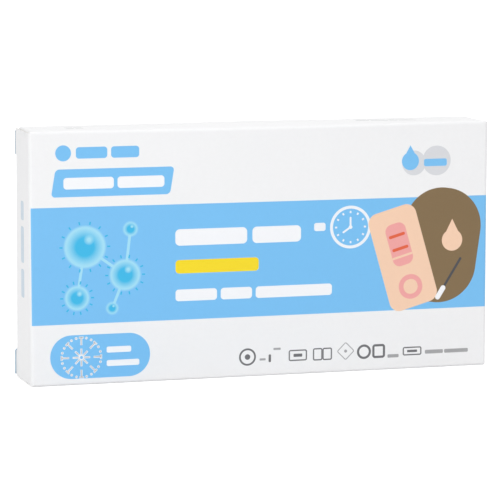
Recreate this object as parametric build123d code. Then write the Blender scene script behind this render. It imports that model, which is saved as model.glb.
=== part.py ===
from build123d import *

import os
from math import asin, atan2, cos, degrees, radians, sin, sqrt

# Folding carton for one rapid test, standing on its long narrow edge.
# X runs along the front panel, Y from front to back, Z up. The origin is the centre of the bottom.

# Carton, outside
panel_length = 151.0
carton_depth = 21.0
carton_height = 80.0
board = 0.45
fold_radius = 1.0
end_fold_radius = 1.2

# Back panel's ends, which stand a little past the end panels at their corners
shoulder_stand = 0.6
shoulder_height = 8.5
shoulder_slope = 1.5
back_setback = 0.8

# Glue flap, inside the back panel under the top fold
glue_flap_width = 12.0
glue_seam_drop = 1.2

# Dust flaps, folded from the top and bottom panels behind each end panel
dust_flap_reach = 30.0
dust_fold_radius = 0.9
dust_flap_taper = 2.0
dust_corner_radius = 3.0
dust_gap = 0.25

# End flaps, each an end panel with a tuck tab that curls round the crease it turns on
end_panel_trim = 0.4
crease_gap = 0.12
slit_length = 8.6
tuck_fold_radius = 1.0
tuck_reach = 13.0
tuck_corner_radius = 6.0
tuck_clearance = 0.25

# Push-in tube holder, cut into the front panel as a ring and a star of short slits
holder_from_end = 16.1
holder_z = 8.8
holder_diameter = 12.6
holder_arms = 8
holder_slit_width = 0.15
star_inner_radius = 0.9
star_outer_radius = 2.6
tick_length = 2.4
tick_cap_length = 1.4
ring_dash_length = 0.6
ring_dashes_per_arm = 2

# Room above the leaflet and the pouch, where the swab pack lies
swab_room = 8.1

# Instruction leaflet, a folded sheet
leaflet_end_gap = 5.0
leaflet_leaves = 4
leaf_thickness = 0.3
leaf_gap = 0.15
leaflet_clearance = 0.15

# Foil pouch with the test cassette and its drying bag sealed inside
pouch_end_gap = 16.5
pouch_seal = 0.3
pouch_corner_radius = 2.0
pouch_notch = 2.2
pouch_clearance = 0.1
cassette_bump_length = 76.0
cassette_bump_width = 26.0
cassette_bump_rise = 2.9
cassette_bump_taper = 40.0
cassette_bump_radius = 4.0
cassette_end_seal = 9.0
dryer_bump_size = 24.0
dryer_bump_rise = 1.4
dryer_end_seal = 5.0
bump_edge_radius = 0.8

# Extraction tube, lying on the bottom panel
tube_length = 62.0
tube_body_diameter = 11.0
tube_tip_diameter = 9.6
tube_rim_diameter = 12.4
tube_rim_width = 2.2
tube_wall = 0.8
tube_mouth_x = 8.0
tube_clearance = 0.5
seal_thickness = 0.12
seal_edge = 0.2

# Dropper cap, lying beside the tube
cap_length = 21.0
cap_skirt_diameter = 12.4
cap_skirt_length = 9.0
cap_shoulder_length = 3.0
cap_nozzle_diameter = 5.0
cap_tip_diameter = 3.2
cap_bore_diameter = 1.2
cap_wall = 0.9
cap_start_x = 24.0

# Swab in its peel pack, lying across the upper edges of the pouch and the leaflet
pack_end_gap = 5.5
pack_width = 19.0
pack_seal = 0.3
pack_chevron = 4.0
swab_length = 112.0
swab_shaft_diameter = 3.2
swab_head_diameter = 4.6
swab_head_length = 17.0

# Worked out from the sizes above
half_length = panel_length / 2
half_depth = carton_depth / 2
back_inner = half_depth - board
front_inner = board - half_depth
dust_outer_x = half_length - board - dust_gap
body_end_x = dust_outer_x - dust_fold_radius
crease_centre_x = half_length - end_fold_radius
crease_centre_y = end_fold_radius - half_depth
crease_half_gap = degrees(crease_gap / 2 / end_fold_radius)
hinge_x = crease_centre_x + end_fold_radius * cos(radians(45))
hinge_y = crease_centre_y - end_fold_radius * sin(radians(45))
tuck_outer_radius = back_inner - tuck_clearance - hinge_y
tuck_inner_radius = tuck_outer_radius - board
holder_x = holder_from_end - half_length
kit_floor = board
leaflet_length = panel_length - 2 * leaflet_end_gap
leaflet_height = carton_height - 2 * board - swab_room
pouch_length = panel_length - 2 * pouch_end_gap
pouch_height = leaflet_height
cassette_offset_x = (cassette_bump_length - pouch_length) / 2 + cassette_end_seal
dryer_offset_x = (pouch_length - dryer_bump_size) / 2 - dryer_end_seal
pack_length = panel_length - 2 * pack_end_gap


def box_between(low, high):
    """A box from its low corner to its high corner."""
    size = [b - a for a, b in zip(low, high)]
    return Pos(*low) * Box(*size, align=(Align.MIN, Align.MIN, Align.MIN))


def ring_sector(centre, outer_radius, inner_radius, start, sweep):
    """A flat piece of ring between two angles in degrees, in the plane of its sketch."""
    outer = CenterArc(centre, outer_radius, start, sweep)
    inner = CenterArc(centre, inner_radius, start, sweep)
    return make_face([outer, Line(outer @ 1, inner @ 1), inner, Line(inner @ 0, outer @ 0)])


def both_ends(shape):
    """The shape at the left end and its mirror image at the right end."""
    return [shape, mirror(shape, about=Plane.YZ)]


def folded_loop(depth):
    """The board's closed loop round a carton of this depth, its front on the same plane."""
    outer = RectangleRounded(depth, carton_height, fold_radius)
    inner = RectangleRounded(depth - 2 * board, carton_height - 2 * board, fold_radius - board)
    return Pos(depth / 2 - half_depth, carton_height / 2) * (outer - inner)


def body_section():
    """The wrapped sheet: its back panel starts under the top fold, over the glue flap that ends the sheet."""
    window_height = 2 * glue_seam_drop
    seam_window = Pos(half_depth / 2, carton_height) * Rectangle(2 * half_depth, window_height)
    glue_window = Pos(half_depth / 2, carton_height) * Rectangle(2 * half_depth, 2 * glue_flap_width)
    wrap = folded_loop(carton_depth) - seam_window
    lap = folded_loop(carton_depth - board) & glue_window
    return wrap + lap


def glue_flap_trims():
    """Wedges that cut the ends of the glue flap at 45 degrees, clear of the tuck tabs."""
    low = carton_height - glue_flap_width - 1
    high = carton_height - fold_radius
    outline = Polyline(
        (-half_length, high), (-half_length, low), (-half_length + high - low, low), close=True
    )
    wedge = Plane.XZ.offset(-back_inner) * make_face(outline)
    return both_ends(extrude(wedge, amount=1.5 * board))


def left_half(inset):
    """The carton's left half as a filled block with rounded folds, inset from its outside."""
    section = RectangleRounded(
        carton_depth - 2 * inset, carton_height - 2 * inset, fold_radius - inset
    )
    plane = Plane.YZ.offset(-half_length)
    return extrude(plane * (Pos(0, carton_height / 2) * section), amount=half_length)


def end_column(inset):
    """The front panel's last stretch at the left end as a solid, up to the middle of its rounded crease."""
    centre = (-crease_centre_x, crease_centre_y)
    sweep = 45 - crease_half_gap
    arc = CenterArc(centre, end_fold_radius - inset, 270 - sweep, sweep)
    edges = Polyline(
        arc @ 1, (-body_end_x, inset - half_depth), (-body_end_x, crease_centre_y), centre, arc @ 0
    )
    return extrude(make_face([arc, edges]), amount=carton_height) & left_half(inset)


def front_end():
    """The front panel's last stretch at the left end, closed over at its top and bottom corners."""
    return end_column(0) - end_column(board)


def back_end():
    """The back panel's last stretch at the left end, set back between its two standing corners."""
    tip = half_length + shoulder_stand
    low = fold_radius
    high = carton_height - glue_seam_drop
    plate = box_between((-tip, back_inner, low), (-body_end_x, half_depth, high))
    recess_x = half_length - back_setback
    outline = Polyline(
        (-tip, shoulder_height),
        (-recess_x, shoulder_height + shoulder_slope),
        (-recess_x, carton_height - shoulder_height - shoulder_slope),
        (-tip, carton_height - shoulder_height),
        close=True,
    )
    recess = extrude(Plane.XZ.offset(-half_depth) * make_face(outline), amount=board)
    return plate - recess


def dust_flap():
    """The dust flap at the left end of the top panel, with the fold that joins it."""
    front_y = fold_radius - half_depth
    back_y = back_inner - fold_radius
    fold_z = carton_height - dust_fold_radius
    fold = ring_sector((-body_end_x, fold_z), dust_fold_radius, dust_fold_radius - board, 90, 90)
    fold_solid = extrude(Plane.XZ.offset(-front_y) * fold, amount=front_y - half_depth)
    free_z = carton_height - dust_flap_reach
    outline = Polyline(
        (front_y, fold_z),
        (front_y + dust_flap_taper, free_z),
        (back_y - dust_flap_taper, free_z),
        (back_y, fold_z),
        close=True,
    )
    face = make_face(outline)
    free_corners = face.vertices().sort_by(Axis.Y)[:2]
    plate = Plane.YZ.offset(-dust_outer_x) * fillet(free_corners, dust_corner_radius)
    return (fold_solid & left_half(0)) + extrude(plate, amount=board)


def upside_down(shape):
    """The shape mirrored about the carton's middle height."""
    return mirror(shape, about=Plane.XY.offset(carton_height / 2))


def holder_slits():
    """The tube holder's star, capped ticks and dashed ring, as thin blocks through the panel."""
    radius = holder_diameter / 2
    through = 4 * board
    star_length = star_outer_radius - star_inner_radius
    star = Pos(star_inner_radius + star_length / 2) * Box(star_length, through, holder_slit_width)
    tick = Pos(radius - tick_length / 2) * Box(tick_length, through, holder_slit_width)
    cap = Pos(radius) * Box(holder_slit_width, through, tick_cap_length)
    dash = Pos(radius) * Box(holder_slit_width, through, ring_dash_length)
    arm_angle = 360 / holder_arms
    dash_angle = arm_angle / (ring_dashes_per_arm + 1)
    slits = []
    for arm in range(holder_arms):
        turn = Rot(0, arm * arm_angle, 0)
        slits += [turn * star, turn * tick, turn * cap]
        for step in range(1, ring_dashes_per_arm + 1):
            slits.append(Rot(0, arm * arm_angle + step * dash_angle, 0) * dash)
    place = Pos(holder_x, front_inner, holder_z)
    return [place * slit for slit in slits]


def carton_sleeve():
    """Front, top, back and bottom panels with the glue flap and the four dust flaps, one folded sheet."""
    section = Plane.YZ.offset(-body_end_x) * body_section()
    sleeve = extrude(section, amount=2 * body_end_x)
    for wedge in glue_flap_trims():
        sleeve -= wedge
    upper_dust = dust_flap()
    for part in (front_end(), back_end(), upper_dust, upside_down(upper_dust)):
        for copy in both_ends(part):
            sleeve += copy
    return sleeve - holder_slits()


def left_tuck_flap():
    """The left end panel with its half of the crease, its slit corners and its curled tuck tab."""
    low = end_panel_trim
    high = carton_height - end_panel_trim
    centre = (-crease_centre_x, crease_centre_y)
    sweep = 45 - crease_half_gap
    half_crease = ring_sector(centre, end_fold_radius, end_fold_radius - board, 180, sweep)
    crease_offset = half_length - hinge_x
    panel_end = hinge_y + sqrt(tuck_outer_radius**2 - crease_offset**2)
    panel = Pos(-half_length, crease_centre_y) * Rectangle(
        board, panel_end - crease_centre_y, align=(Align.MIN, Align.MIN)
    )
    flap = Pos(0, 0, low) * extrude(half_crease + panel, amount=high - low)
    fold_centre_x = tuck_fold_radius - half_length
    fold_reach = tuck_outer_radius - tuck_fold_radius
    fold_centre_y = hinge_y + sqrt(fold_reach**2 - (fold_centre_x + hinge_x) ** 2)
    corner_block = box_between(
        (-half_length, fold_centre_y, slit_length),
        (board - half_length, panel_end, carton_height - slit_length),
    )
    return flap - corner_block + tuck_tab(fold_centre_x, fold_centre_y)


def tuck_tab(fold_x, fold_y):
    """The tab that tucks in behind the back panel, curled round the flap's own crease."""
    meeting = degrees(atan2(fold_y - hinge_y, fold_x + hinge_x))
    curl = degrees(tuck_reach / tuck_outer_radius)
    fold = ring_sector(
        (fold_x, fold_y), tuck_fold_radius, tuck_fold_radius - board, meeting, 180 - meeting
    )
    tab = ring_sector(
        (-hinge_x, hinge_y), tuck_outer_radius, tuck_inner_radius, meeting - curl, curl
    )
    height = carton_height - 2 * slit_length
    tip_x = -hinge_x + tuck_outer_radius * cos(radians(meeting - curl))
    return Pos(0, 0, slit_length) * extrude(fold + tab, amount=height) & tab_outline(tip_x)


def tab_outline(tip_x):
    """A block seen from the back as the tab's outline, with its two free corners rounded."""
    outline = Pos(-half_length, carton_height / 2) * Rectangle(
        tip_x + half_length, carton_height - 2 * slit_length, align=(Align.MIN, Align.CENTER)
    )
    free_corners = outline.vertices().sort_by(Axis.X)[-2:]
    shape = fillet(free_corners, tuck_corner_radius)
    return extrude(Plane.XZ.offset(-half_depth) * shape, amount=carton_depth)


def folded_leaflet():
    """The leaflet's folded sheet, standing on the bottom panel behind the front panel."""
    pitch = leaf_thickness + leaf_gap
    outer_bend = leaf_thickness + leaf_gap / 2
    inner_bend = leaf_gap / 2
    first_y = front_inner + leaflet_clearance
    straight = leaflet_height - 2 * outer_bend
    section = None
    for leaf in range(leaflet_leaves):
        y = first_y + leaf * pitch
        strip = Pos(y, kit_floor + outer_bend) * Rectangle(
            leaf_thickness, straight, align=(Align.MIN, Align.MIN)
        )
        section = strip if section is None else section + strip
        if leaf == leaflet_leaves - 1:
            continue
        at_top = leaf % 2 == 0
        bend_z = kit_floor + outer_bend + (straight if at_top else 0)
        bend_y = y + leaf_thickness + leaf_gap / 2
        section += ring_sector((bend_y, bend_z), outer_bend, inner_bend, 0 if at_top else 180, 180)
    sheet = Plane.YZ.offset(-leaflet_length / 2) * section
    return extrude(sheet, amount=leaflet_length)


def pouch_bump(length, width, rise, radius):
    """One swelling on both faces of the pouch, in the plane of its seal, centred on the origin."""
    foot = RectangleRounded(length, width, radius)
    swell = extrude(foot, amount=rise, taper=cassette_bump_taper)
    top_edges = swell.faces().sort_by(Axis.Z)[-1].edges()
    swell = fillet(top_edges, bump_edge_radius)
    return swell + mirror(swell, about=Plane.XY)


def test_pouch():
    """The sealed foil pouch, standing on its edge against the back panel."""
    sheet = RectangleRounded(pouch_length, pouch_height, pouch_corner_radius)
    notch_side = Rectangle(pouch_notch / sqrt(2), pouch_notch / sqrt(2))
    for side in (-1, 1):
        sheet -= Pos(side * pouch_length / 2, pouch_height / 4) * Rot(0, 0, 45) * notch_side
    pouch = Pos(0, 0, -pouch_seal / 2) * extrude(sheet, amount=pouch_seal)
    cassette = pouch_bump(
        cassette_bump_length, cassette_bump_width, cassette_bump_rise, cassette_bump_radius
    )
    dryer = pouch_bump(dryer_bump_size, dryer_bump_size, dryer_bump_rise, cassette_bump_radius)
    pouch += Pos(cassette_offset_x) * cassette
    pouch += Pos(dryer_offset_x) * dryer
    sheet_y = back_inner - pouch_clearance - cassette_bump_rise
    return Pos(0, sheet_y, kit_floor + pouch_height / 2) * Rot(90, 0, 0) * pouch


def tube_profile():
    """Half of the tube's section, with its mouth at zero and its closed tip at minus its length."""
    rim = tube_rim_diameter / 2
    body = tube_body_diameter / 2
    tip = tube_tip_diameter / 2
    shoulder = -tube_length + tip
    outer_tip = CenterArc((shoulder, 0), tip, 90, 90)
    inner_tip = CenterArc((shoulder, 0), tip - tube_wall, 90, 90)
    outline = [
        Polyline((0, body - tube_wall), (0, rim), (-tube_rim_width, rim), (-tube_rim_width, body)),
        Line((-tube_rim_width, body), outer_tip @ 0),
        outer_tip,
        Line(outer_tip @ 1, inner_tip @ 1),
        inner_tip,
        Line(inner_tip @ 0, (0, body - tube_wall)),
    ]
    return make_face(outline)


def floor_place(shape, x):
    """The place that sets a piece down on the bottom panel behind the leaflet, its origin at x."""
    stack = leaflet_leaves * (leaf_thickness + leaf_gap) - leaf_gap
    leaflet_face = front_inner + leaflet_clearance + stack
    y = leaflet_face + tube_clearance + tube_rim_diameter / 2
    return Pos(x, y, kit_floor - shape.bounding_box().min.Z)


def extraction_tube_and_seal():
    """The squeeze tube and the foil disc on its mouth, lying on the rim and the rounded tip."""
    tip_radius = tube_tip_diameter / 2
    drop = tube_rim_diameter / 2 - tip_radius
    tilt = degrees(asin(drop / (tube_length - tip_radius - tube_rim_width)))
    tube = Rot(0, -tilt, 0) * revolve(tube_profile(), axis=Axis.X)
    disc = Rot(0, 90 - tilt, 0) * Cylinder(
        tube_rim_diameter / 2 - seal_edge,
        seal_thickness,
        align=(Align.CENTER, Align.CENTER, Align.MIN),
    )
    place = floor_place(tube, tube_mouth_x)
    return place * tube, place * disc


def nozzle_cap():
    """The dropper cap, lying on its skirt."""
    skirt = cap_skirt_diameter / 2
    nozzle = cap_nozzle_diameter / 2
    tip = cap_tip_diameter / 2
    bore = cap_bore_diameter / 2
    shoulder = cap_skirt_length + cap_shoulder_length
    outline = Polyline(
        (0, skirt - cap_wall),
        (0, skirt),
        (cap_skirt_length, skirt),
        (shoulder, nozzle),
        (cap_length, tip),
        (cap_length, bore),
        (shoulder, bore),
        (cap_skirt_length, skirt - cap_wall),
        close=True,
    )
    cap = revolve(make_face(outline), axis=Axis.X)
    return floor_place(cap, cap_start_x) * cap


def swab_pack():
    """The peel pack with the swab's ridge, lying across the pouch and the leaflet."""
    half = pack_length / 2
    side = pack_width / 2
    outline = Polyline(
        (-half, -side), (half - pack_chevron, -side), (half, 0), (half - pack_chevron, side),
        (-half, side), close=True,
    )
    sheet = extrude(make_face(outline), amount=pack_seal)
    upper = box_between((-half, -side, 0), (half, side, pack_width))
    shaft = capsule(swab_length, swab_shaft_diameter / 2)
    head_shift = (swab_length - swab_head_length) / 2
    head = Pos(-head_shift) * capsule(swab_head_length, swab_head_diameter / 2)
    pack = sheet + ((shaft + head) & upper)
    return Pos(0, 0, kit_floor + leaflet_height) * pack


def capsule(length, radius):
    """A round bar along X with ball ends, centred on the origin."""
    straight = length - 2 * radius
    bar = Rot(0, 90, 0) * Cylinder(radius, straight)
    ball = Sphere(radius)
    return bar + Pos(-straight / 2) * ball + Pos(straight / 2) * ball


def write_nodes():
    """Builds every piece and writes it to its own file."""
    left_flap = left_tuck_flap()
    tube, seal = extraction_tube_and_seal()
    nodes = {
        "carton_sleeve": carton_sleeve(),
        "left_tuck_flap": left_flap,
        "right_tuck_flap": mirror(left_flap, about=Plane.YZ),
        "test_pouch": test_pouch(),
        "swab_pack": swab_pack(),
        "extraction_tube": tube,
        "tube_seal": seal,
        "nozzle_cap": nozzle_cap(),
        "instruction_leaflet": folded_leaflet(),
    }
    os.makedirs("parts", exist_ok=True)
    for name, shape in nodes.items():
        export_step(shape, f"parts/{name}.step")


write_nodes()
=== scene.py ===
from __future__ import annotations

import logging
import math
from collections.abc import Iterable, Mapping, Sequence
from dataclasses import dataclass, field
from enum import Enum, IntEnum
from typing import Protocol

import bmesh
import bpy
from mathutils import Euler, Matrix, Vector, noise
from mathutils.bvhtree import BVHTree

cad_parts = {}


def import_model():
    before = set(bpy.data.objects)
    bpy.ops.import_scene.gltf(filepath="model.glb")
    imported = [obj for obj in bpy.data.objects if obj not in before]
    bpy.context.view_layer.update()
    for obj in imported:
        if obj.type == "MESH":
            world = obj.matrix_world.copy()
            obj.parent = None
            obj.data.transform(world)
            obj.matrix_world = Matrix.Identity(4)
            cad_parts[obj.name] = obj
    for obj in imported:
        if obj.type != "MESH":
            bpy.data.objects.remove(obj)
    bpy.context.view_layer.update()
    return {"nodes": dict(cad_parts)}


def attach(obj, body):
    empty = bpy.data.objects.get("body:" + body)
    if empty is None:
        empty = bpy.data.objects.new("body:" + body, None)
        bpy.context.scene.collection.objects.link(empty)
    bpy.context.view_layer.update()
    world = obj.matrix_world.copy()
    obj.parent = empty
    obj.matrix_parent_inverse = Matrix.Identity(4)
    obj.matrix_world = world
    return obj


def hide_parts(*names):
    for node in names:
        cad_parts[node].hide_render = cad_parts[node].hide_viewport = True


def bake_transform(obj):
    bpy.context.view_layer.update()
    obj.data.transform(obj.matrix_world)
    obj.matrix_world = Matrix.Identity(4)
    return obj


MM = 0.001
WELD_DISTANCE = 0.0005 * MM
CUT_TOLERANCE = 0.001 * MM
RAY_START = 0.01 * MM
log = logging.getLogger("carton")

Colour = tuple[float, float, float]
Point = tuple[float, float, float]


class Axis(Enum):
    """The three directions of the frame, as places in a vector."""

    X = 0
    Y = 1
    Z = 2


class Ink(Enum):
    """The printed colours, as they look in daylight, from 0 to 255."""

    SKY = (120, 192, 242)
    WHITE = (246, 247, 250)
    YELLOW = (247, 219, 20)
    GREY = (217, 218, 222)
    DARK = (66, 67, 72)
    CYAN = (3, 178, 228)
    PALE_CYAN = (168, 226, 245)
    PEACH = (247, 208, 179)
    PINK = (241, 165, 162)
    CORAL = (226, 96, 60)
    BROWN = (126, 103, 69)
    STAMP = (176, 180, 180)
    # Pale blue of the end marks; it also tints the standing corners, partly as print ink and partly
    # as painted shade.
    FAINT_BLUE = (176, 198, 216)

    def linear(self) -> Colour:
        """The ink as the linear colour that a shader takes."""
        return linear_colour(self.value)


def linear_colour(rgb: Sequence[float]) -> Colour:
    """Turns a colour as seen on a screen into a shader's linear one, by the sRGB curve.

    Args:
        rgb: Red, green and blue from 0 to 255.

    Returns:
        The linear red, green and blue from 0 to 1.
    """
    shares = (channel / 255 for channel in rgb)
    return tuple(s / 12.92 if s <= 0.04045 else ((s + 0.055) / 1.055) ** 2.4 for s in shares)


class Value:
    """A shader's number, so that maths on sockets reads as plain arithmetic."""

    def __init__(self, graph: Graph, socket: bpy.types.NodeSocket) -> None:
        """Keeps the socket and the graph that its maths nodes go into."""
        self.graph = graph
        self.socket = socket

    def math(self, operation: str, *others: Value | float, clamp: bool = False) -> Value:
        """Adds one Math node.

        Args:
            operation: The Math node's operation.
            others: What goes into its second and third sockets.
            clamp: Whether the result is held between 0 and 1.

        Returns:
            The node's result.
        """
        settings = {"operation": operation, "use_clamp": clamp}
        return self.graph.value("ShaderNodeMath", settings, dict(enumerate((self, *others))))

    def __add__(self, other: Value | float) -> Value:
        """This value plus another."""
        return self.math("ADD", other)

    __radd__ = __add__

    def __mul__(self, other: Value | float) -> Value:
        """This value times another."""
        return self.math("MULTIPLY", other)

    __rmul__ = __mul__

    def __sub__(self, other: Value | float) -> Value:
        """This value less another."""
        return self.math("SUBTRACT", other)

    def __rsub__(self, other: float) -> Value:
        """A number less this value."""
        return self.math("MULTIPLY_ADD", -1.0, other)

    def __truediv__(self, other: Value | float) -> Value:
        """This value divided by another."""
        return self.math("DIVIDE", other)

    def __abs__(self) -> Value:
        """This value without its sign."""
        return self.math("ABSOLUTE")

    def over(self, other: Value | float) -> Value:
        """The larger of this value and another."""
        return self.math("MAXIMUM", other)

    def under(self, other: Value | float) -> Value:
        """The smaller of this value and another."""
        return self.math("MINIMUM", other)

    def between(self, low: float, high: float) -> Value:
        """A pattern of 0 to 1 spread between two levels."""
        return self.math("MULTIPLY_ADD", high - low, low)


class Graph:
    """The node tree of a material or of the world."""

    def __init__(self, owner: bpy.types.Material | bpy.types.World) -> None:
        """Empties the owner's tree.

        Args:
            owner: The material or the world.
        """
        owner.use_nodes = True
        self.owner = owner
        self.tree = owner.node_tree
        self.tree.nodes.clear()

    @classmethod
    def named(cls, name: str) -> Graph:
        """Makes an empty material of that name."""
        return cls(bpy.data.materials.new(name))

    def node(
        self,
        kind: str,
        settings: Mapping[str, object] | None = None,
        sockets: Mapping[int | str, object] | None = None,
    ) -> bpy.types.Node:
        """Adds one node.

        Args:
            kind: The node's type.
            settings: Its settings, which are set first.
            sockets: Values or links for its inputs, by name or place.

        Returns:
            The new node.
        """
        node = self.tree.nodes.new(kind)
        for key, setting in (settings or {}).items():
            setattr(node, key, setting)
        for key, source in (sockets or {}).items():
            self.feed(node.inputs[key], source)
        return node

    def feed(self, socket: bpy.types.NodeSocket, source: object) -> None:
        """Links a value or a socket to an input, or sets the input to a plain value.

        Args:
            socket: The input.
            source: The value, socket, number, vector or colour.
        """
        if isinstance(source, Value):
            self.tree.links.new(source.socket, socket)
        elif isinstance(source, bpy.types.NodeSocket):
            self.tree.links.new(source, socket)
        elif socket.type == "RGBA":
            socket.default_value = (*source, 1.0)
        else:
            socket.default_value = source

    def value(
        self, kind: str, settings: Mapping[str, object], sockets: Mapping[int | str, object]
    ) -> Value:
        """Adds one node and gives its first output as a number."""
        return Value(self, self.node(kind, settings, sockets).outputs[0])

    def vector_node(self, operation: str, inputs: Sequence[object]) -> bpy.types.Node:
        """Adds one Vector Math node."""
        return self.node("ShaderNodeVectorMath", {"operation": operation}, dict(enumerate(inputs)))

    def vector(self, operation: str, *inputs: object) -> bpy.types.NodeSocket:
        """Does vector maths that gives a vector."""
        return self.vector_node(operation, inputs).outputs["Vector"]

    def measure(self, operation: str, *inputs: object) -> Value:
        """Does vector maths that gives a number."""
        return Value(self, self.vector_node(operation, inputs).outputs["Value"])

    def place(self) -> bpy.types.NodeSocket:
        """The point on the piece, in the frame at rest, in metres."""
        return self.node("ShaderNodeTexCoord").outputs["Object"]

    def noise(self, size: float, detail: float = 2.0, stretch: Point = (1.0, 1.0, 1.0)) -> Value:
        """Adds a soft random pattern.

        Args:
            size: The size of one blotch in millimetres.
            detail: How many finer layers it has.
            stretch: How much longer than size a blotch is along each axis.

        Returns:
            The pattern, mostly between 0.3 and 0.7.
        """
        scale = tuple(1 / (size * MM * share) for share in stretch)
        place = self.vector("MULTIPLY", self.place(), scale)
        sockets = {"Vector": place, "Scale": 1.0, "Detail": detail}
        return self.value("ShaderNodeTexNoise", {}, sockets)

    def mix(self, share: Value | float, first: object, second: object) -> bpy.types.NodeSocket:
        """Mixes two colours.

        Args:
            share: How much of the second colour shows, from 0 to 1.
            first: A colour or a colour's socket.
            second: A colour or a colour's socket.

        Returns:
            The mixed colour's socket.
        """
        sockets = {0: share, 6: first, 7: second}
        return self.node("ShaderNodeMix", {"data_type": "RGBA"}, sockets).outputs[2]

    def scaled(self, colour: object, level: Value) -> bpy.types.NodeSocket:
        """A colour times a number.

        Args:
            colour: A colour or a colour's socket.
            level: The number.

        Returns:
            The result's socket.
        """
        settings = {"operation": "SCALE"}
        node = self.node("ShaderNodeVectorMath", settings, {0: colour, "Scale": level})
        return node.outputs["Vector"]

    def bump(self, height: Value, depth: float) -> bpy.types.NodeSocket:
        """A normal that makes a height pattern look raised.

        Args:
            height: The pattern.
            depth: How high one unit of it stands, in millimetres.

        Returns:
            The normal's socket.
        """
        sockets = {"Height": height, "Distance": depth * MM, "Strength": 1.0}
        return self.node("ShaderNodeBump", {}, sockets).outputs["Normal"]

    def surface(self, **sockets: object) -> bpy.types.Material:
        """Ends the material in a plain surface shader.

        Args:
            sockets: The shader's inputs, with _ for a space in their names.

        Returns:
            The finished material.
        """
        inputs = {name.replace("_", " "): source for name, source in sockets.items()}
        shader = self.node("ShaderNodeBsdfPrincipled", {}, inputs)
        self.node("ShaderNodeOutputMaterial", {}, {"Surface": shader.outputs[0]})
        return self.owner


class Page:
    """A flat face of a piece as a drawing surface, in millimetres, where print has soft edges."""

    edge: float = 0.12

    def __init__(self, graph: Graph, across: Axis, up: Axis) -> None:
        """Reads the two directions of the page from the piece's own coordinates.

        Args:
            graph: The material's tree.
            across: The frame's axis across the page.
            up: The frame's axis up the page.
        """
        self.graph = graph
        parts = graph.node("ShaderNodeSeparateXYZ", {}, {0: graph.place()})
        self.x = Value(graph, parts.outputs[across.value]) * (1 / MM)
        self.y = Value(graph, parts.outputs[up.value]) * (1 / MM)
        self.point = self.joined(self.x, self.y)

    def joined(self, x: Value, y: Value) -> bpy.types.NodeSocket:
        """Makes a point of the page from its two places."""
        return self.graph.node("ShaderNodeCombineXYZ", {}, {0: x, 1: y}).outputs[0]

    def distance(self, x: float, y: float) -> Value:
        """How far a point of the page is from a centre."""
        return self.graph.measure("DISTANCE", self.point, (x, y, 0.0))

    def within(self, distance: Value, limit: float, edge: float | None = None) -> Value:
        """Where a distance is under a limit.

        Args:
            distance: The distance from the middle of a shape.
            limit: Where the shape ends.
            edge: The width of its soft edge.

        Returns:
            1 inside and 0 outside.
        """
        width = edge or self.edge
        return distance.math("MULTIPLY_ADD", -1 / width, 0.5 + limit / width, clamp=True)

    def past_box(
        self, centre: Point, half: Point, turn: float = 0.0, lean: float = 0.0
    ) -> Value:
        """How far a point is outside a box that may be turned or leaning.

        Args:
            centre: The box's centre on the page.
            half: Half of the box's width and height.
            turn: Its turn to the left in degrees.
            lean: How far its top leans to the right, as a share of its height.

        Returns:
            The distance, which is 0 inside the box.
        """
        point = self.point
        if turn:
            settings = {"rotation_type": "Z_AXIS"}
            sockets = {"Vector": point, "Center": centre, "Angle": -math.radians(turn)}
            point = self.graph.node("ShaderNodeVectorRotate", settings, sockets).outputs[0]
        if lean:
            point = self.joined(self.x - (self.y - centre[1]) * lean, self.y)
        vector = self.graph.vector
        offset = vector("ABSOLUTE", vector("SUBTRACT", point, centre))
        beyond = vector("MAXIMUM", vector("SUBTRACT", offset, half), (0.0, 0.0, 0.0))
        return self.graph.measure("LENGTH", beyond)

    def fan(self, x: float, y: float, count: int, start: float = 0.0) -> tuple[Value, Value]:
        """Folds the page round a centre, so that one arm shows as many times as asked.

        Args:
            x: The centre across the page.
            y: The centre up the page.
            count: How many arms there are.
            start: The first arm's direction in degrees.

        Returns:
            The distances along the nearest arm and to the left of it.
        """
        radius = self.distance(x, y)
        angle = (self.y - y).math("ARCTAN2", self.x - x) * (count / math.tau) - start * count / 360
        step = (angle - angle.math("ROUND")) * (math.tau / count)
        return radius * step.math("COSINE"), radius * step.math("SINE")


class Shape(Protocol):
    """A plain printed shape."""

    def cover(self, page: Page) -> Value:
        """Where the shape covers the page, from 0 to 1."""


@dataclass(frozen=True)
class Disc:
    """A filled circle, with its sizes in millimetres."""

    x: float
    y: float
    radius: float
    edge: float | None = None

    def cover(self, page: Page) -> Value:
        """Where the circle covers the page."""
        return page.within(page.distance(self.x, self.y), self.radius, self.edge)


@dataclass(frozen=True)
class Ring:
    """A circle's line."""

    x: float
    y: float
    radius: float
    line: float

    def cover(self, page: Page) -> Value:
        """Where the line covers the page."""
        return page.within(abs(page.distance(self.x, self.y) - self.radius), self.line / 2)


@dataclass(frozen=True)
class Bar:
    """A filled bar with rounded corners, turned or leaning if asked."""

    left: float
    bottom: float
    right: float
    top: float
    corner: float = 0.2
    turn: float = 0.0
    lean: float = 0.0

    def beyond(self, page: Page) -> Value:
        """How far a point is outside the bar's core, which its corners go round.

        Args:
            page: The page that the bar is on.

        Returns:
            The distance, in millimetres.
        """
        centre = ((self.left + self.right) / 2, (self.bottom + self.top) / 2, 0.0)
        half_width, half_height = (self.right - self.left) / 2, (self.top - self.bottom) / 2
        half = (half_width - self.corner, half_height - self.corner, 0.0)
        return page.past_box(centre, half, self.turn, self.lean)

    def cover(self, page: Page) -> Value:
        """Where the bar covers the page."""
        return page.within(self.beyond(page), self.corner)


@dataclass(frozen=True)
class Outline:
    """The line round a bar."""

    bar: Bar
    line: float

    def cover(self, page: Page) -> Value:
        """Where the line covers the page."""
        return page.within(abs(self.bar.beyond(page) - self.bar.corner), self.line / 2)


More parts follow.
